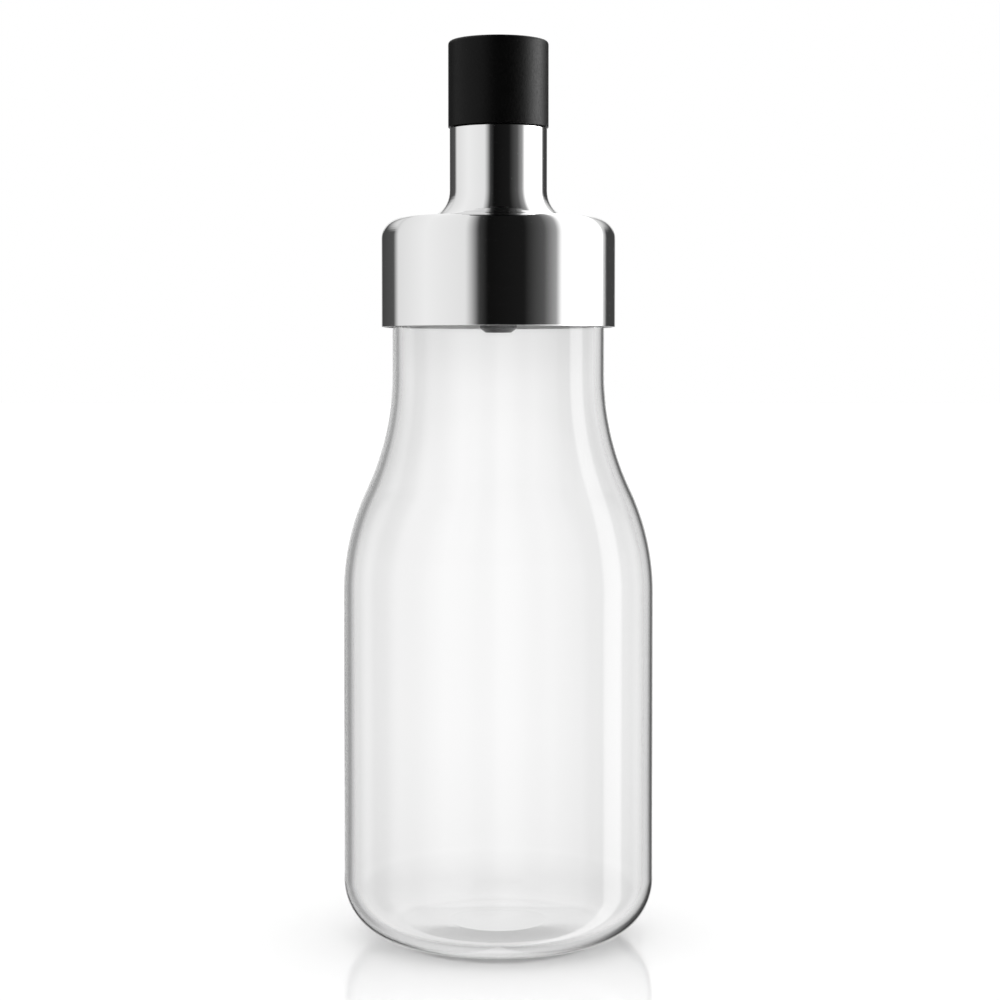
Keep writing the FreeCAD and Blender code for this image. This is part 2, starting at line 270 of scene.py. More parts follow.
def new_material(name):
    """An empty material, its tree, and the object coordinates that its patterns read."""
    material = bpy.data.materials.new(name)
    material.use_nodes = True
    tree = material.node_tree
    tree.nodes.clear()
    return material, tree, add(tree, "ShaderNodeTexCoord").outputs["Object"]


def axis_distance(tree, place):
    """Distance of a place from the bottle's axis."""
    flat = add(tree, "ShaderNodeVectorMath", {0: place, 1: (1.0, 1.0, 0.0)}, operation="MULTIPLY")
    return add(tree, "ShaderNodeVectorMath", {0: flat}, operation="LENGTH").outputs["Value"]


def blown_glass():
    """Borosilicate, blown and fire-polished: colourless, with slow waves that bend reflections."""
    material, tree, place = new_material("blown borosilicate glass")
    drawn = add(tree, "ShaderNodeMapping", {"Vector": place, "Scale": GLASS_WAVE_STRETCH})
    waves = add(tree, "ShaderNodeTexNoise", {"Vector": drawn, "Scale": per_metre(GLASS_WAVE), "Detail": 1.0})
    bump = add(tree, "ShaderNodeBump",
               {"Height": waves, "Strength": GLASS_WAVE_STRENGTH, "Distance": GLASS_WAVE_DEPTH})
    shader = add(tree, "ShaderNodeBsdfPrincipled",
                 {"Base Color": linear("#FEFEFE"), "Roughness": 0.0, "IOR": GLASS_IOR,
                  "Transmission Weight": 1.0, "Normal": bump})
    add(tree, "ShaderNodeOutputMaterial", {"Surface": shader})
    return material


def polished_steel():
    """Drawn stainless steel: a clear mirror outside, with fine rings left by the mop, and satin inside."""
    material, tree, place = new_material("mirror polished stainless steel")
    rings = add(tree, "ShaderNodeMapping", {"Vector": place, "Scale": MOP_RING_STRETCH})
    marks = add(tree, "ShaderNodeTexNoise", {"Vector": rings, "Scale": per_metre(MOP_RING), "Detail": 3.0})
    smears = add(tree, "ShaderNodeTexNoise", {"Vector": place, "Scale": per_metre(SMEAR), "Detail": 2.0})
    both = add(tree, "ShaderNodeMix", {0: SMEAR_SHARE, MIX_A: marks, MIX_B: smears})
    mirror = add(tree, "ShaderNodeMapRange",
                 {"Value": both, "From Min": NOISE_SPAN[0], "From Max": NOISE_SPAN[1],
                  "To Min": MIRROR_ROUGHNESS[0], "To Max": MIRROR_ROUGHNESS[1]})
    within = add(tree, "ShaderNodeMath", {0: axis_distance(tree, place), 1: LID_HIGH.x - SHEET / 2},
                 operation="LESS_THAN")
    height = add(tree, "ShaderNodeSeparateXYZ", {0: place}).outputs["Z"]
    below = add(tree, "ShaderNodeMath", {0: height, 1: LID_LOW.z + SKIRT_HEIGHT - LID_CORNER},
                operation="LESS_THAN")
    inside = add(tree, "ShaderNodeMath", {0: within, 1: below}, operation="MULTIPLY")
    gloss = add(tree, "ShaderNodeMix", {0: inside, MIX_A: mirror, MIX_B: SATIN_ROUGHNESS})
    bump = add(tree, "ShaderNodeBump",
               {"Height": marks, "Strength": MOP_RING_STRENGTH, "Distance": MOP_RING_DEPTH})
    shader = add(tree, "ShaderNodeBsdfPrincipled",
                 {"Base Color": linear("#E5E5E5"), "Metallic": 1.0, "Roughness": gloss, "Normal": bump})
    add(tree, "ShaderNodeOutputMaterial", {"Surface": shader})
    return material


def moulded_material(name, base, pale, grain, roughness, bump_depth, specular=0.5):
    """A moulding, black, grey or pale: spark-eroded grain in its skin and a faint bloom over its colour."""
    material, tree, place = new_material(name)
    skin = add(tree, "ShaderNodeTexNoise",
               {"Vector": place, "Scale": per_metre(grain), "Detail": 4.0, "Roughness": 0.6})
    bloom = add(tree, "ShaderNodeTexNoise",
                {"Vector": place, "Scale": per_metre(BLOOM_PER_GRAIN * grain), "Detail": 2.0})
    colour = add(tree, "ShaderNodeMix",
                 {0: bloom, COLOUR_A: linear(base), COLOUR_B: linear(pale)}, data_type="RGBA")
    gloss = add(tree, "ShaderNodeMapRange",
                {"Value": skin, "From Min": NOISE_SPAN[0], "From Max": NOISE_SPAN[1],
                 "To Min": roughness[0], "To Max": roughness[1]})
    bump = add(tree, "ShaderNodeBump", {"Height": skin, "Strength": SKIN_STRENGTH, "Distance": bump_depth})
    shader = add(tree, "ShaderNodeBsdfPrincipled",
                 {"Base Color": colour.outputs[COLOUR_OUT], "Roughness": gloss,
                  "Specular IOR Level": specular, "Normal": bump})
    add(tree, "ShaderNodeOutputMaterial", {"Surface": shader})
    return material


def satin_table():
    """Satin white board: pale, with a soft reflection close round what stands on it."""
    material, tree, place = new_material("satin white table top")
    reach = add(tree, "ShaderNodeVectorMath", {0: place}, operation="LENGTH").outputs["Value"]
    gloss = add(tree, "ShaderNodeMapRange",
                {"Value": reach, "From Min": FLOOR_GLOSS_EDGE[0], "From Max": FLOOR_GLOSS_EDGE[1],
                 "To Min": FLOOR_GLOSS[0], "To Max": FLOOR_GLOSS[1]}, **SOFT)
    shader = add(tree, "ShaderNodeBsdfPrincipled",
                 {"Base Color": linear("#F3F3F3"), "Roughness": FLOOR_ROUGHNESS, "IOR": FLOOR_IOR,
                  "Specular IOR Level": gloss})
    add(tree, "ShaderNodeOutputMaterial", {"Surface": shader})
    return material


def shaded_table():
    """Painted shade for the table under the bottle: a glowing pale grey that fades out towards the heel."""
    material, tree, place = new_material("shaded table under the glass")
    cover = add(tree, "ShaderNodeMapRange",
                {"Value": axis_distance(tree, place), "From Min": SHADE_EDGE[0], "From Max": SHADE_EDGE[1],
                 "To Min": 1.0, "To Max": 0.0}, **SOFT)
    # Painted shade: a glow of this level stands in for the table's shade
    shade = add(tree, "ShaderNodeEmission", {"Strength": SHADE_LEVEL})
    clear = add(tree, "ShaderNodeBsdfTransparent")
    faded = add(tree, "ShaderNodeMixShader", {0: cover, 1: clear, 2: shade})
    add(tree, "ShaderNodeOutputMaterial", {"Surface": faded})
    return material


def arc(centre, bend, from_angle, to_angle, step=None):
    """Section points from one angle to another about a centre, a length apart where a step is given."""
    steps = math.ceil(abs(to_angle - from_angle) / (step / bend if step else ARC_STEP))
    steps = max(ARC_FEWEST_STEPS, steps)
    points = []
    for index in range(steps + 1):
        angle = from_angle + (to_angle - from_angle) * index / steps
        points.append(centre + Vector((bend * math.cos(angle), bend * math.sin(angle))))
    return points


def dome(edge, rise):
    """Section points of a shallow dome, from its edge to the axis."""
    bend = (edge.x ** 2 + rise ** 2) / (2 * rise)
    centre = Vector((0, edge.y + rise - bend))
    points = arc(centre, bend, QUARTER - math.asin(edge.x / bend), QUARTER, DOME_STEP)
    return points[:-1] + [Vector((0, edge.y + rise))]


def with_support(points):
    """Adds a point near each end of a long straight, so that smooth shading keeps flats flat."""
    filled = [points[0]]
    for start, end in zip(points, points[1:]):
        run = end - start
        if run.length > SUPPORT_REACH:
            reach = run.normalized() * min(SUPPORT_REACH, SUPPORT_SHARE * run.length)
            filled += [start + reach, end - reach]
        filled.append(end)
    return filled


def rounded(corners, closed=True):
    """Section points through (radius, height) corners. A corner's third number is its round, without which it
    has a mould edge."""
    places = [Vector(corner[:2]) for corner in corners]
    points = []
    for index, here in enumerate(places):
        at_end = index in (0, len(places) - 1) and not closed
        if at_end:
            points.append(here)
            continue
        bend = corners[index][2] if len(corners[index]) > 2 else MOULD_EDGE
        to_last = (places[index - 1] - here).normalized()
        to_next = (places[(index + 1) % len(places)] - here).normalized()
        half = to_last.angle(to_next) / 2
        centre = here + (to_last + to_next).normalized() * (bend / math.sin(half))
        start = here + to_last * (bend / math.tan(half)) - centre
        end = here + to_next * (bend / math.tan(half)) - centre
        from_angle = math.atan2(start.y, start.x)
        turn = math.atan2(start.x * end.y - start.y * end.x, start.dot(end))
        points += arc(centre, bend, from_angle, from_angle + turn)
    return points + points[:1] if closed else points


def turned_tree():
    """Geometry Nodes lathe: each point of the section goes once round the axis."""
    tree = bpy.data.node_groups.new("turned_piece", "GeometryNodeTree")
    sockets = tree.interface
    sockets.new_socket("Section", in_out="INPUT", socket_type="NodeSocketGeometry")
    sockets.new_socket("Points", in_out="INPUT", socket_type="NodeSocketInt")
    sockets.new_socket("Segments", in_out="INPUT", socket_type="NodeSocketInt")
    sockets.new_socket("Finish", in_out="INPUT", socket_type="NodeSocketMaterial")
    sockets.new_socket("Piece", in_out="OUTPUT", socket_type="NodeSocketGeometry")
    given = add(tree, "NodeGroupInput").outputs
    columns = add(tree, "FunctionNodeIntegerMath", {0: given["Segments"], 1: 1}, operation="ADD")
    grid = add(tree, "GeometryNodeMeshGrid", {"Vertices X": given["Points"], "Vertices Y": columns})
    index = add(tree, "GeometryNodeInputIndex")
    row = add(tree, "FunctionNodeIntegerMath", {0: index, 1: columns}, operation="DIVIDE_FLOOR")
    column = add(tree, "FunctionNodeIntegerMath", {0: index, 1: columns}, operation="MODULO")
    share = add(tree, "ShaderNodeMath", {0: column, 1: given["Segments"]}, operation="DIVIDE")
    angle = add(tree, "ShaderNodeMath", {0: share, 1: math.tau}, operation="MULTIPLY")
    position = add(tree, "GeometryNodeInputPosition")
    section = add(tree, "GeometryNodeSampleIndex",
                  {"Geometry": given["Section"], "Value": position, "Index": row}, data_type="FLOAT_VECTOR")
    place = add(tree, "ShaderNodeVectorRotate", {"Vector": section, "Angle": angle}, rotation_type="Z_AXIS")
    moved = add(tree, "GeometryNodeSetPosition", {"Geometry": grid, "Position": place})
    closed = add(tree, "GeometryNodeMergeByDistance", {"Geometry": moved, "Distance": SEAM_GAP})
    smooth = add(tree, "GeometryNodeSetShadeSmooth", {"Geometry": closed})
    real = add(tree, "GeometryNodeRealizeInstances", {"Geometry": smooth})
    finish = add(tree, "GeometryNodeSetMaterial", {"Geometry": real, "Material": given["Finish"]})
    add(tree, "NodeGroupOutput", {"Piece": finish})
    return tree


def web_tree():
    """Geometry Nodes pattern: flat webs spread evenly round the axis."""
    tree = bpy.data.node_groups.new("web_ring", "GeometryNodeTree")
    sockets = tree.interface
    sockets.new_socket("Web", in_out="INPUT", socket_type="NodeSocketGeometry")
    sockets.new_socket("Count", in_out="INPUT", socket_type="NodeSocketInt")
    sockets.new_socket("Finish", in_out="INPUT", socket_type="NodeSocketMaterial")
    sockets.new_socket("Piece", in_out="OUTPUT", socket_type="NodeSocketGeometry")
    given = add(tree, "NodeGroupInput").outputs
    points = add(tree, "GeometryNodePoints", {"Count": given["Count"]})
    index = add(tree, "GeometryNodeInputIndex")
    share = add(tree, "ShaderNodeMath", {0: index, 1: given["Count"]}, operation="DIVIDE")
    angle = add(tree, "ShaderNodeMath", {0: share, 1: math.tau}, operation="MULTIPLY")
    turn = add(tree, "ShaderNodeCombineXYZ", {"Z": angle})
    copies = add(tree, "GeometryNodeInstanceOnPoints",
                 {"Points": points, "Instance": given["Web"], "Rotation": turn})
    real = add(tree, "GeometryNodeRealizeInstances", {"Geometry": copies})
    finish = add(tree, "GeometryNodeSetMaterial", {"Geometry": real, "Material": given["Finish"]})
    add(tree, "NodeGroupOutput", {"Piece": finish})
    return tree


def made_by(tree, name, mesh, inputs):
    """Object whose mesh is what the tree makes of a starting mesh."""
    piece = bpy.data.objects.new(name, mesh)
    bpy.context.scene.collection.objects.link(piece)
    modifier = piece.modifiers.new(tree.name, "NODES")
    modifier.node_group = tree
    for item in tree.interface.items_tree:
        if item.in_out == "INPUT" and item.name in inputs:
            modifier[item.identifier] = inputs[item.name]
    evaluated = piece.evaluated_get(bpy.context.evaluated_depsgraph_get())
    result = bpy.data.meshes.new_from_object(evaluated)
    piece.modifiers.remove(modifier)
    piece.data = result
    result.name = name
    bpy.data.meshes.remove(mesh)
    shape = bmesh.new()
    shape.from_mesh(result)
    bmesh.ops.recalc_face_normals(shape, faces=shape.faces)
    shape.to_mesh(result)
    shape.free()
    return piece


def turned(name, points, finish, segments=SMALL_SEGMENTS):
    """Piece turned about the axis from its section."""
    section = bpy.data.meshes.new(name + "_section")
    points = with_support(points)
    section.from_pydata([(point.x, 0, point.y) for point in points], [], [])
    return made_by(TURNED, name, section, {"Points": len(points), "Segments": segments, "Finish": finish})


def dress(piece, body, slot, *nodes):
    """Says which solids a piece stands for and which body it rides on. Its slot is not used."""
    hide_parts(*nodes)
    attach(piece, body)
    return piece


def bottle_section():
    """Outline of the wall, from the underside's centre round the rim to the floor's centre."""
    radius, rim = GLASS_HIGH.x, GLASS_HIGH.z
    bore, neck_bore = radius - GLASS_WALL, NECK_RADIUS - GLASS_WALL
    turn = math.acos(1 - (radius - NECK_RADIUS) / (SHOULDER_BEND + NECK_BEND))
    neck_start = STRAIGHT_HEIGHT + (SHOULDER_BEND + NECK_BEND) * math.sin(turn)
    shoulder = Vector((radius - SHOULDER_BEND, STRAIGHT_HEIGHT))
    neck = Vector((NECK_RADIUS + NECK_BEND, neck_start))
    heel = Vector((radius - BASE_CORNER, BASE_CORNER))
    inner_heel = Vector((bore - INNER_CORNER, FLOOR_THICKNESS + INNER_CORNER))
    outer_rim = Vector((NECK_RADIUS - RIM_ROUND, rim - RIM_ROUND))
    inner_rim = Vector((neck_bore + RIM_ROUND, rim - RIM_ROUND))
    points = dome(Vector((KICK_UP_RADIUS, 0)), KICK_UP_DEPTH)[::-1]
    points += arc(heel, BASE_CORNER, -QUARTER, 0, GLASS_STEP)
    points += arc(shoulder, SHOULDER_BEND, 0, turn, GLASS_STEP)
    points += arc(neck, NECK_BEND, HALF + turn, HALF, GLASS_STEP)[1:]
    points += arc(outer_rim, RIM_ROUND, 0, QUARTER)
    points += arc(inner_rim, RIM_ROUND, QUARTER, HALF)
    points += arc(neck, NECK_BEND + GLASS_WALL, HALF, HALF + turn, GLASS_STEP)
    points += arc(shoulder, SHOULDER_BEND - GLASS_WALL, turn, 0, GLASS_STEP)[1:]
    points += arc(inner_heel, INNER_CORNER, 0, -QUARTER, GLASS_STEP)
    points += dome(Vector((inner_heel.x, FLOOR_THICKNESS)), FLOOR_CROWN)[1:]
    return points


def lid_section():
    """Outline of the sheet: up the skirt, over corner and flare to the spout's end, and back inside."""
    radius, bottom, top = LID_HIGH.x, LID_LOW.z, LID_LOW.z + SKIRT_HEIGHT
    bore, spout_bore, spout_top = radius - SHEET, SPOUT_RADIUS - SHEET, LID_HIGH.z
    return rounded([
        (radius, bottom, CUT_EDGE_ROUND),
        (radius, top, LID_CORNER),
        (SPOUT_RADIUS, top, FLARE_BEND),
        (SPOUT_RADIUS, spout_top, CUT_EDGE_ROUND),
        (spout_bore, spout_top, CUT_EDGE_ROUND),
        (spout_bore, top - SHEET, FLARE_BEND + SHEET),
        (bore, top - SHEET, LID_CORNER - SHEET),
        (bore, bottom, CUT_EDGE_ROUND),
    ])


def square_groove(node, floor_radius, mouth_radius, slack):
    """Corners of the groove that holds a ring, from its lower side to its upper side."""
    low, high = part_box(node)
    return [
        (mouth_radius, low.z - slack),
        (floor_radius, low.z - slack),
        (floor_radius, high.z + slack),
        (mouth_radius, high.z + slack),
    ]


def stopper_section():
    """Plug with two grooves for the lip rings, a flange under the lid and a socket for the liner's foot."""
    hole = INLET_RADIUS + INLET_CLEARANCE
    nose, flange_bottom, flange_top = STOPPER_LOW.z, GASKET_HIGH.z, STOPPER_HIGH.z
    floor_top = nose + PLUG_FLOOR
    hollow = PLUG_RADIUS - PLUG_WALL
    socket = SOCKET_BORE + SOCKET_WALL
    corners = [(hole, nose), (PLUG_RADIUS, nose, PLUG_NOSE_ROUND)]
    for node in ("neck_seal_lower", "neck_seal_upper"):
        corners += square_groove(node, PLUG_RADIUS - LIP_GROOVE_DEPTH, PLUG_RADIUS, LIP_SIDE_CLEARANCE)
    corners += [
        (PLUG_RADIUS, flange_bottom),
        (STOPPER_HIGH.x, flange_bottom),
        (STOPPER_HIGH.x, flange_top, LID_CORNER - SHEET),
        (hollow, flange_top),
        (hollow, floor_top),
        (socket, floor_top),
        (socket, floor_top + SOCKET_HEIGHT),
        (SOCKET_BORE, floor_top + SOCKET_HEIGHT),
        (SOCKET_BORE, floor_top),
        (hole, floor_top),
    ]
    return rounded(corners)


def stopper_webs(finish):
    """Flat webs that tie the liner's socket to the plug's wall."""
    floor_top = STOPPER_LOW.z + PLUG_FLOOR
    web_top = floor_top + WEB_HEIGHT_SHARE * (STOPPER_HIGH.z - floor_top)
    low = Vector((SOCKET_BORE + SOCKET_WALL / 2, -WEB_THICKNESS / 2, floor_top))
    high = Vector((PLUG_RADIUS - PLUG_WALL / 2, WEB_THICKNESS / 2, web_top))
    placed = Matrix.Translation((low + high) / 2) @ Matrix.Diagonal((*(high - low), 1.0))
    shape = bmesh.new()
    bmesh.ops.create_cube(shape, size=1.0, matrix=placed)
    bmesh.ops.bevel(shape, geom=shape.edges[:], offset=MOULD_EDGE, segments=MOULD_EDGE_STEPS, affect="EDGES")
    web = bpy.data.meshes.new("web")
    shape.to_mesh(web)
    shape.free()
    return made_by(web_tree(), "stopper_webs", web, {"Count": WEB_COUNT, "Finish": finish})


def washer_section(node, bore):
    """A flat ring."""
    low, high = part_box(node)
    return rounded([(bore, low.z), (high.x, low.z), (high.x, high.z), (bore, high.z)])


def lip_section(node):
    """A lip ring: a foot in its groove and a crest that reaches for the neck's wall."""
    low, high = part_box(node)
    foot = PLUG_RADIUS - LIP_GROOVE_DEPTH
    crest = low.z + LIP_CREST_SHARE * (high.z - low.z)
    return rounded([
        (foot, low.z),
        (PLUG_RADIUS, low.z),
        (high.x, crest, LIP_CREST_ROUND),
        (PLUG_RADIUS, high.z),
        (foot, high.z),
    ])


def ring_section(node):
    """Round section of an O-ring."""
    low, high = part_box(node)
    bend = (high.z - low.z) / 2
    return arc(Vector((high.x - bend, (low.z + high.z) / 2)), bend, 0, math.tau)


def ring_floor(node):
    """Radius of the groove's floor that an O-ring sits on."""
    low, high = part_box(node)
    return high.x - (high.z - low.z)


def liner_section():
    """Tube through the spout, with a funnel down to the chamfered inlet and a groove for its ring."""
    bore, foot = LINER_HIGH.x - LINER_WALL, WASHER_HIGH.z
    corners = [
        (INLET_BORE, LINER_LOW.z),
        (INLET_RADIUS - INLET_CHAMFER_WIDTH, LINER_LOW.z),
        (INLET_RADIUS, LINER_LOW.z + INLET_CHAMFER_HEIGHT),
        (INLET_RADIUS, foot),
        (LINER_HIGH.x, foot),
    ]
    corners += square_groove("liner_ring", ring_floor("liner_ring"), LINER_HIGH.x, RING_GROOVE_SLACK / 2)
    corners += [
        (LINER_HIGH.x, LINER_HIGH.z),
        (bore, LINER_HIGH.z, LINER_MOUTH_ROUND),
        (bore, foot + FUNNEL_FLOOR + FUNNEL_HEIGHT),
        (INLET_BORE, foot + FUNNEL_FLOOR),
    ]
    return rounded(corners)


def sleeve_section():
    """The cap's soft skin, from the top's centre down the side and up inside."""
    bore, ceiling = CAP_HIGH.x - CAP_WALL, CAP_HIGH.z - CAP_TOP_THICKNESS
    return rounded([
        (0, CAP_HIGH.z),
        (CAP_HIGH.x, CAP_HIGH.z, CAP_EDGE_ROUND),
        (CAP_HIGH.x, CAP_LOW.z, CUT_EDGE_ROUND),
        (bore, CAP_LOW.z),
        (bore, ceiling),
        (0, ceiling),
    ], closed=False)


def core_section():
    """The cap's rigid core: a hollow plug with a groove for its ring, and a cup inside the sleeve."""
    radius = CAP_HIGH.x - CAP_WALL - CORE_CLEARANCE
    hollow = CORE_PLUG_RADIUS - CORE_PLUG_WALL
    shoulder_top, nose_top = CAP_LOW.z + CORE_FLOOR, CORE_LOW.z + CORE_FLOOR
    corners = [(0, CORE_LOW.z), (CORE_PLUG_RADIUS, CORE_LOW.z, CORE_PLUG_NOSE_ROUND)]
    corners += square_groove("cap_ring", ring_floor("cap_ring"), CORE_PLUG_RADIUS, RING_GROOVE_SLACK / 2)
    corners += [
        (CORE_PLUG_RADIUS, CAP_LOW.z),
        (radius, CAP_LOW.z),
        (radius, CORE_HIGH.z),
        (radius - CORE_WALL, CORE_HIGH.z),
        (radius - CORE_WALL, shoulder_top),
        (hollow, shoulder_top),
        (hollow, nose_top),
        (0, nose_top),
    ]
    return rounded(corners, closed=False)


def look_directions(tree):
    """Where a ray looks: its height, its turn to the right, its turn along strips that lean in overhead and
    meet behind, so that a turned edge shows them straight, and its share straight behind."""
    look = add(tree, "ShaderNodeTexCoord").outputs["Generated"]
    part = add(tree, "ShaderNodeSeparateXYZ", {0: look}).outputs
    height = add(tree, "ShaderNodeMath", {0: part["Z"]}, operation="ARCSINE")
    forward = add(tree, "ShaderNodeMath", {0: part["Y"], 1: -1.0}, operation="MULTIPLY")
    turn = add(tree, "ShaderNodeMath", {0: part["X"], 1: forward}, operation="ARCTAN2")
    from_behind = add(tree, "ShaderNodeMath", {0: forward, 1: 1.0}, operation="ADD")
    half_lean = add(tree, "ShaderNodeMath", {0: part["X"], 1: from_behind}, operation="ARCTAN2")
    lean = add(tree, "ShaderNodeMath", {0: half_lean, 1: 2.0}, operation="MULTIPLY")
    upward = add(tree, "ShaderNodeMath", {0: part["Z"], 1: 0.0}, operation="GREATER_THAN")
    strips = add(tree, "ShaderNodeMix", {0: upward, MIX_A: turn, MIX_B: lean})
    return height, turn, strips, part["Y"]


def lamp_core(tree, height, strips):
    """The lamp's hot core, which gives the matte cap its sheen."""
    from_lamp = add(tree, "ShaderNodeMath", {0: strips, 1: LAMP_TURN}, operation="SUBTRACT")
    lamp_side = add(tree, "ShaderNodeMath", {0: from_lamp}, operation="ABSOLUTE")
    core = add(tree, "ShaderNodeMapRange",
               {"Value": lamp_side, "From Min": LAMP_EDGE[0], "From Max": LAMP_EDGE[1],
                "To Min": LAMP_LEVEL, "To Max": 0.0}, **SOFT)
    return add(tree, "ShaderNodeMapRange",
               {"Value": height, "From Min": LAMP_TOP[0], "From Max": LAMP_TOP[1],
                "To Min": core, "To Max": 0.0}, **SOFT)


def strip_lit(tree, sides, strips, aside, behind):
    """The room that clear glass mirrors, in which the lamp would be a hard stripe: strip light and fill."""
    from_strip = add(tree, "ShaderNodeMath", {0: strips, 1: STRIP_TURN}, operation="SUBTRACT")
    strip_side = add(tree, "ShaderNodeMath", {0: from_strip}, operation="ABSOLUTE")
    strip = add(tree, "ShaderNodeMapRange",
                {"Value": strip_side, "From Min": STRIP_EDGE[0], "From Max": STRIP_EDGE[1],
                 "To Min": STRIP_LEVEL, "To Max": 0.0}, **SOFT)
    near_strip = add(tree, "ShaderNodeMapRange",
                     {"Value": behind, "From Min": STRIP_END[0], "From Max": STRIP_END[1],
                      "To Min": strip, "To Max": 0.0}, **SOFT)
    fill = add(tree, "ShaderNodeMapRange",
               {"Value": aside, "From Min": FILL_EDGE[0], "From Max": FILL_EDGE[1],
                "To Min": FILL_LEVEL, "To Max": 0.0}, **SOFT)
    dim_sides = add(tree, "ShaderNodeMath", {0: sides, 1: STRIP_ROOM}, operation="MINIMUM")
    soft_sides = add(tree, "ShaderNodeMath", {0: dim_sides, 1: fill}, operation="MAXIMUM")
    return add(tree, "ShaderNodeMath", {0: soft_sides, 1: near_strip}, operation="ADD")


def mirror_room(tree, walls, height, strips, behind, from_glass):
    """What mirrors see: walls that are lighter over the flags, the lamp or strip light, and a white back."""
    above = add(tree, "ShaderNodeMapRange",
                {"Value": height, "From Min": FLAG_TOP[0], "From Max": FLAG_TOP[1]}, **SOFT)
    aside = add(tree, "ShaderNodeMath", {0: strips}, operation="ABSOLUTE")
    at_flags = add(tree, "ShaderNodeMapRange",
                   {"Value": aside, "From Min": FLAG_SIDE[0], "From Max": FLAG_SIDE[1]}, **SOFT)
    over_flags = add(tree, "ShaderNodeMath", {0: above, 1: at_flags}, operation="MULTIPLY")
    sides = add(tree, "ShaderNodeMix", {0: over_flags, MIX_A: walls, MIX_B: OVER_FLAGS})
    lit_sides = add(tree, "ShaderNodeMath", {0: sides, 1: lamp_core(tree, height, strips)}, operation="ADD")
    glass_sides = strip_lit(tree, sides, strips, aside, behind)
    all_sides = add(tree, "ShaderNodeMix", {0: from_glass, MIX_A: lit_sides, MIX_B: glass_sides})

    # The white back starts above the foot of the flags. Clear glass sees some of it lower down too
    back = add(tree, "ShaderNodeMapRange",
               {"Value": behind, "From Min": BACK_EDGE[0], "From Max": BACK_EDGE[1]}, **SOFT)
    raised = add(tree, "ShaderNodeMapRange",
                 {"Value": height, "From Min": BACK_FOOT[0], "From Max": BACK_FOOT[1]}, **SOFT)
    in_glass = add(tree, "ShaderNodeMath", {0: from_glass, 1: BACK_IN_GLASS}, operation="MULTIPLY")
    reach = add(tree, "ShaderNodeMath", {0: raised, 1: in_glass}, operation="MAXIMUM")
    high_back = add(tree, "ShaderNodeMath", {0: back, 1: reach}, operation="MULTIPLY")
    return add(tree, "ShaderNodeMix", {0: high_back, MIX_A: all_sides, MIX_B: BACK_LEVEL})


def glass_light(tree, glow, posts, height, turn, rays):
    """What shows through the glass: the glow, and posts for light turned back in the first wall it met."""
    aim = add(tree, "ShaderNodeMath", {0: turn, 1: GLOW_OFFSET}, operation="SUBTRACT")
    from_middle = add(tree, "ShaderNodeMath", {0: aim, 1: GLOW_STEP / 2}, operation="PINGPONG")
    middle = add(tree, "ShaderNodeMapRange",
                 {"Value": from_middle, "From Min": GLOW_MIDDLE[0], "From Max": GLOW_MIDDLE[1],
                  "To Min": GLOW_MIDDLE_LEVELS[0], "To Max": GLOW_MIDDLE_LEVELS[1]}, **SOFT)
    backdrop = add(tree, "ShaderNodeMath", {0: glow, 1: middle}, operation="MULTIPLY")
    first_wall = add(tree, "ShaderNodeMath", {0: rays["Transmission Depth"], 1: WALL_CROSSINGS},
                     operation="LESS_THAN")
    turned_back = add(tree, "ShaderNodeMath", {0: rays["Glossy Depth"], 1: first_wall},
                      operation="MULTIPLY", use_clamp=True)
    above_foot = add(tree, "ShaderNodeMapRange",
                     {"Value": height, "From Min": POST_FOOT[0], "From Max": POST_FOOT[1],
                      "To Min": POST_FOOT_SHARE}, **SOFT)
    in_wall = add(tree, "ShaderNodeMath", {0: turned_back, 1: above_foot}, operation="MULTIPLY")
    return add(tree, "ShaderNodeMix", {0: in_wall, MIX_A: backdrop, MIX_B: posts})


def studio_room():
    """Light from all round. Each kind of ray sees its own: the camera white, matte skins an even light,
    mirrors the room, and what has passed through glass the glow and the posts."""
    world = bpy.data.worlds.new("white studio")
    world.use_nodes = True
    tree = world.node_tree
    tree.nodes.clear()
    rays = add(tree, "ShaderNodeLightPath").outputs
    height, turn, strips, behind = look_directions(tree)
    post_reach = math.radians(POST_REACH)
    quarter = add(tree, "ShaderNodeMath", {0: turn, 1: post_reach, 2: -post_reach}, operation="WRAP")

    # Levels that follow an angle, from stops in degrees that run from minus to plus its reach
    levels = []
    for angle, reach, stops in ((strips, ROOM_REACH, ROOM_LEVELS), (height, GLOW_REACH, GLOW_LEVELS),
                                (quarter, POST_REACH, POST_LEVELS)):
        share = add(tree, "ShaderNodeMapRange",
                    {"Value": angle, "From Min": -math.radians(reach), "From Max": math.radians(reach)})
        ramp = add(tree, "ShaderNodeValToRGB", {0: share})
        marks = ramp.color_ramp.elements
        marks.remove(marks[1])
        for index, (degrees, level) in enumerate(stops):
            mark = marks[0] if index == 0 else marks.new(1.0)
            mark.position = (degrees + reach) / (2 * reach)
            mark.color = (*(level / BRIGHTEST,) * 3, 1.0)
        levels.append(add(tree, "ShaderNodeMath", {0: ramp, 1: BRIGHTEST}, operation="MULTIPLY"))
    walls, glow, posts = levels

    room = mirror_room(tree, walls, height, strips, behind, rays["Is Singular Ray"])
    through = glass_light(tree, glow, posts, height, turn, rays)
    clear = add(tree, "ShaderNodeMix", {0: rays["Is Transmission Ray"], MIX_A: room, MIX_B: through})
    matte = add(tree, "ShaderNodeMix", {0: rays["Diffuse Depth"], MIX_A: clear, MIX_B: MATTE_LIGHT})
    seen = add(tree, "ShaderNodeMix", {0: rays["Is Camera Ray"], MIX_A: matte, MIX_B: BACKDROP_WHITE})
    light = add(tree, "ShaderNodeBackground", {"Color": linear("#FFFFFF"), "Strength": seen})
    add(tree, "ShaderNodeOutputWorld", {"Surface": light})

    # Not sampled as a lamp, because each kind of ray has to find its own light
    world.cycles.sampling_method = "NONE"
    bpy.context.scene.world = world


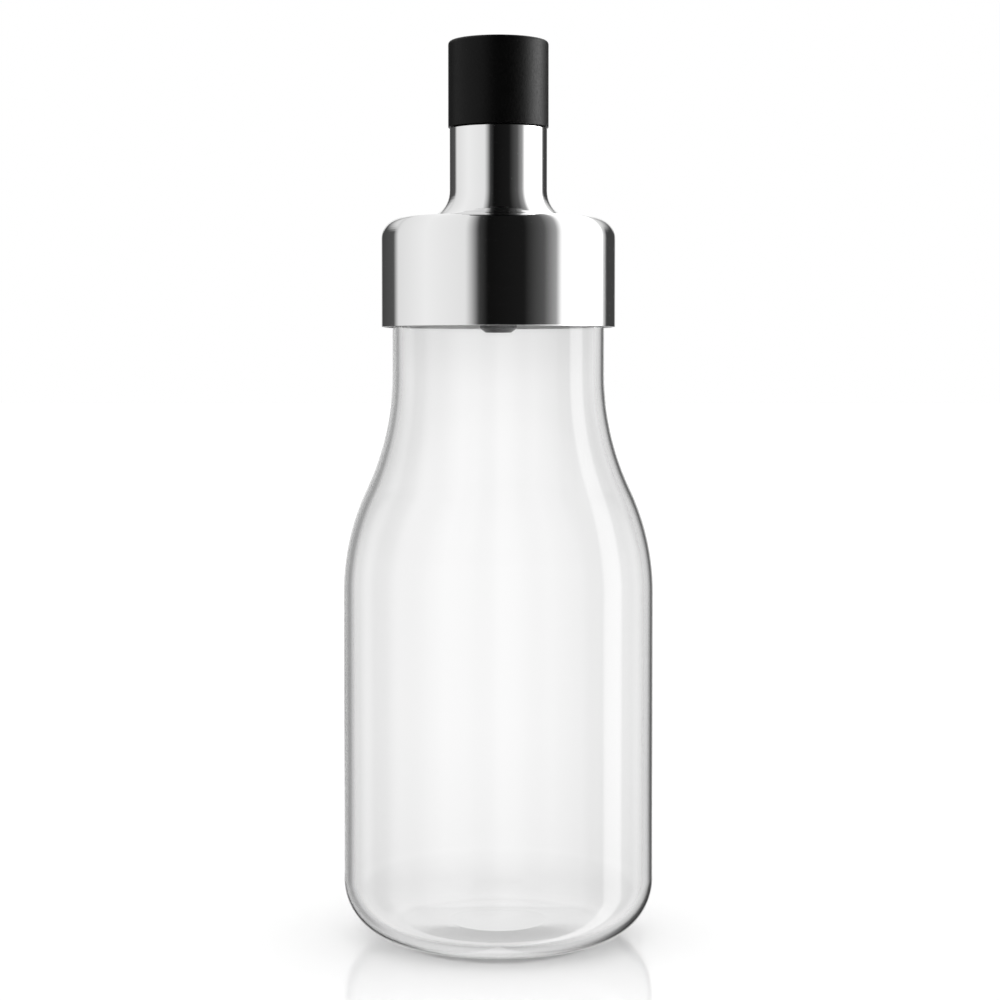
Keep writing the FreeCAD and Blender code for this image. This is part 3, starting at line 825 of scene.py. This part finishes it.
def studio_sheet(name, outline, finish, hidden_from):
    """A flat sheet of the studio, which some kinds of ray pass by."""
    mesh = bpy.data.meshes.new(name)
    mesh.from_pydata(outline, [], [tuple(range(len(outline)))])
    mesh.materials.append(finish)
    sheet = bpy.data.objects.new(name, mesh)
    for ray in hidden_from:
        setattr(sheet, "visible_" + ray, False)
    bpy.context.scene.collection.objects.link(sheet)


def table_top():
    """Floor for the eye and for soft light. Mirrors and glass look past it, into the room."""
    corners = ((-1, -1), (1, -1), (1, 1), (-1, 1))
    outline = [(x * FLOOR_REACH, y * FLOOR_REACH, -FLOOR_DROP) for x, y in corners]
    studio_sheet("table_top", outline, satin_table(), ("glossy", "transmission"))


def shaded_patch():
    """Painted shade under the bottle: a glowing sheet that only rays which have passed through the glass see.
    """
    outline = []
    for index in range(SHADE_SEGMENTS):
        turn = math.tau * index / SHADE_SEGMENTS
        outline.append((SHADE_EDGE[1] * math.cos(turn), SHADE_EDGE[1] * math.sin(turn), -SHADE_DROP))
    studio_sheet("shaded_patch", outline, shaded_table(), ("camera", "diffuse", "glossy", "shadow"))


TURNED = turned_tree()
GLASS = blown_glass()
STEEL = polished_steel()

# The grain of all four mouldings is drawn coarser than the real one, so that it shows.
# Cap skin: deep black and dry to the eye, with only a dull sheen towards the lamp
SILICONE = moulded_material("matte black silicone", "#020202", "#050505", grain=0.5 * MM,
                            roughness=(0.3, 0.48), bump_depth=0.1 * MM, specular=0.12)
# Uncoloured: milky and pale, which keeps the inside of the lid light
PALE_MOULDING = moulded_material("milky polypropylene", "#C9C9C6", "#D6D6D3", grain=0.5 * MM,
                                 roughness=(0.3, 0.44), bump_depth=0.02 * MM)
# Coloured through: black with a clearer sheen than the cap's skin
MOULDING = moulded_material("black polypropylene", "#0B0B0C", "#111112", grain=0.5 * MM,
                            roughness=(0.26, 0.4), bump_depth=0.02 * MM)
# Seals: a satin grey that tells them from the black mouldings
SEALING = moulded_material("grey sealing silicone", "#39393B", "#434345", grain=0.4 * MM,
                           roughness=(0.42, 0.58), bump_depth=0.02 * MM)

dress(turned("bottle_glass", bottle_section(), GLASS, FINE_SEGMENTS),
      "bottle", "clear_glass", "glass_bottle")
dress(turned("lid_steel", lid_section(), STEEL, FINE_SEGMENTS), "lid", "polished_steel", "lid_shell")
dress(turned("stopper_moulding", stopper_section(), PALE_MOULDING), "lid", "pale_moulding", "stopper_body")
dress(stopper_webs(PALE_MOULDING), "lid", "pale_moulding", "stopper_body")
dress(turned("liner_moulding", liner_section(), MOULDING), "lid", "black_moulding", "pour_liner")
for node, bore in (("rim_gasket", PLUG_RADIUS + GASKET_CLEARANCE),
                   ("inlet_ring", INLET_RADIUS + INLET_CLEARANCE)):
    dress(turned(node + "_silicone", washer_section(node, bore), SEALING), "lid", "seal_silicone", node)
for node in ("neck_seal_upper", "neck_seal_lower"):
    dress(turned(node + "_silicone", lip_section(node), SEALING), "lid", "seal_silicone", node)
dress(turned("liner_ring_silicone", ring_section("liner_ring"), SEALING),
      "lid", "seal_silicone", "liner_ring")
dress(turned("cap_silicone", sleeve_section(), SILICONE), "cap", "black_silicone", "cap_sleeve")
dress(turned("core_moulding", core_section(), MOULDING), "cap", "black_moulding", "cap_core")
dress(turned("cap_ring_silicone", ring_section("cap_ring"), SEALING), "cap", "seal_silicone", "cap_ring")

studio_room()
table_top()
shaded_patch()
bpy.context.scene.view_settings.view_transform = "Standard"

camera = bpy.data.objects.new("camera", bpy.data.cameras.new("camera"))
camera.data.lens = CAMERA_LENS
camera.data.shift_x = CAMERA_SHIFT_X
camera.data.shift_y = CAMERA_SHIFT_Y
camera.data.clip_start = CAMERA_CLIP
camera.location = (0, -CAMERA_DISTANCE, CAMERA_HEIGHT)
camera.rotation_euler = (QUARTER - CAMERA_TILT, 0, 0)
bpy.context.scene.collection.objects.link(camera)
bpy.context.scene.camera = camera
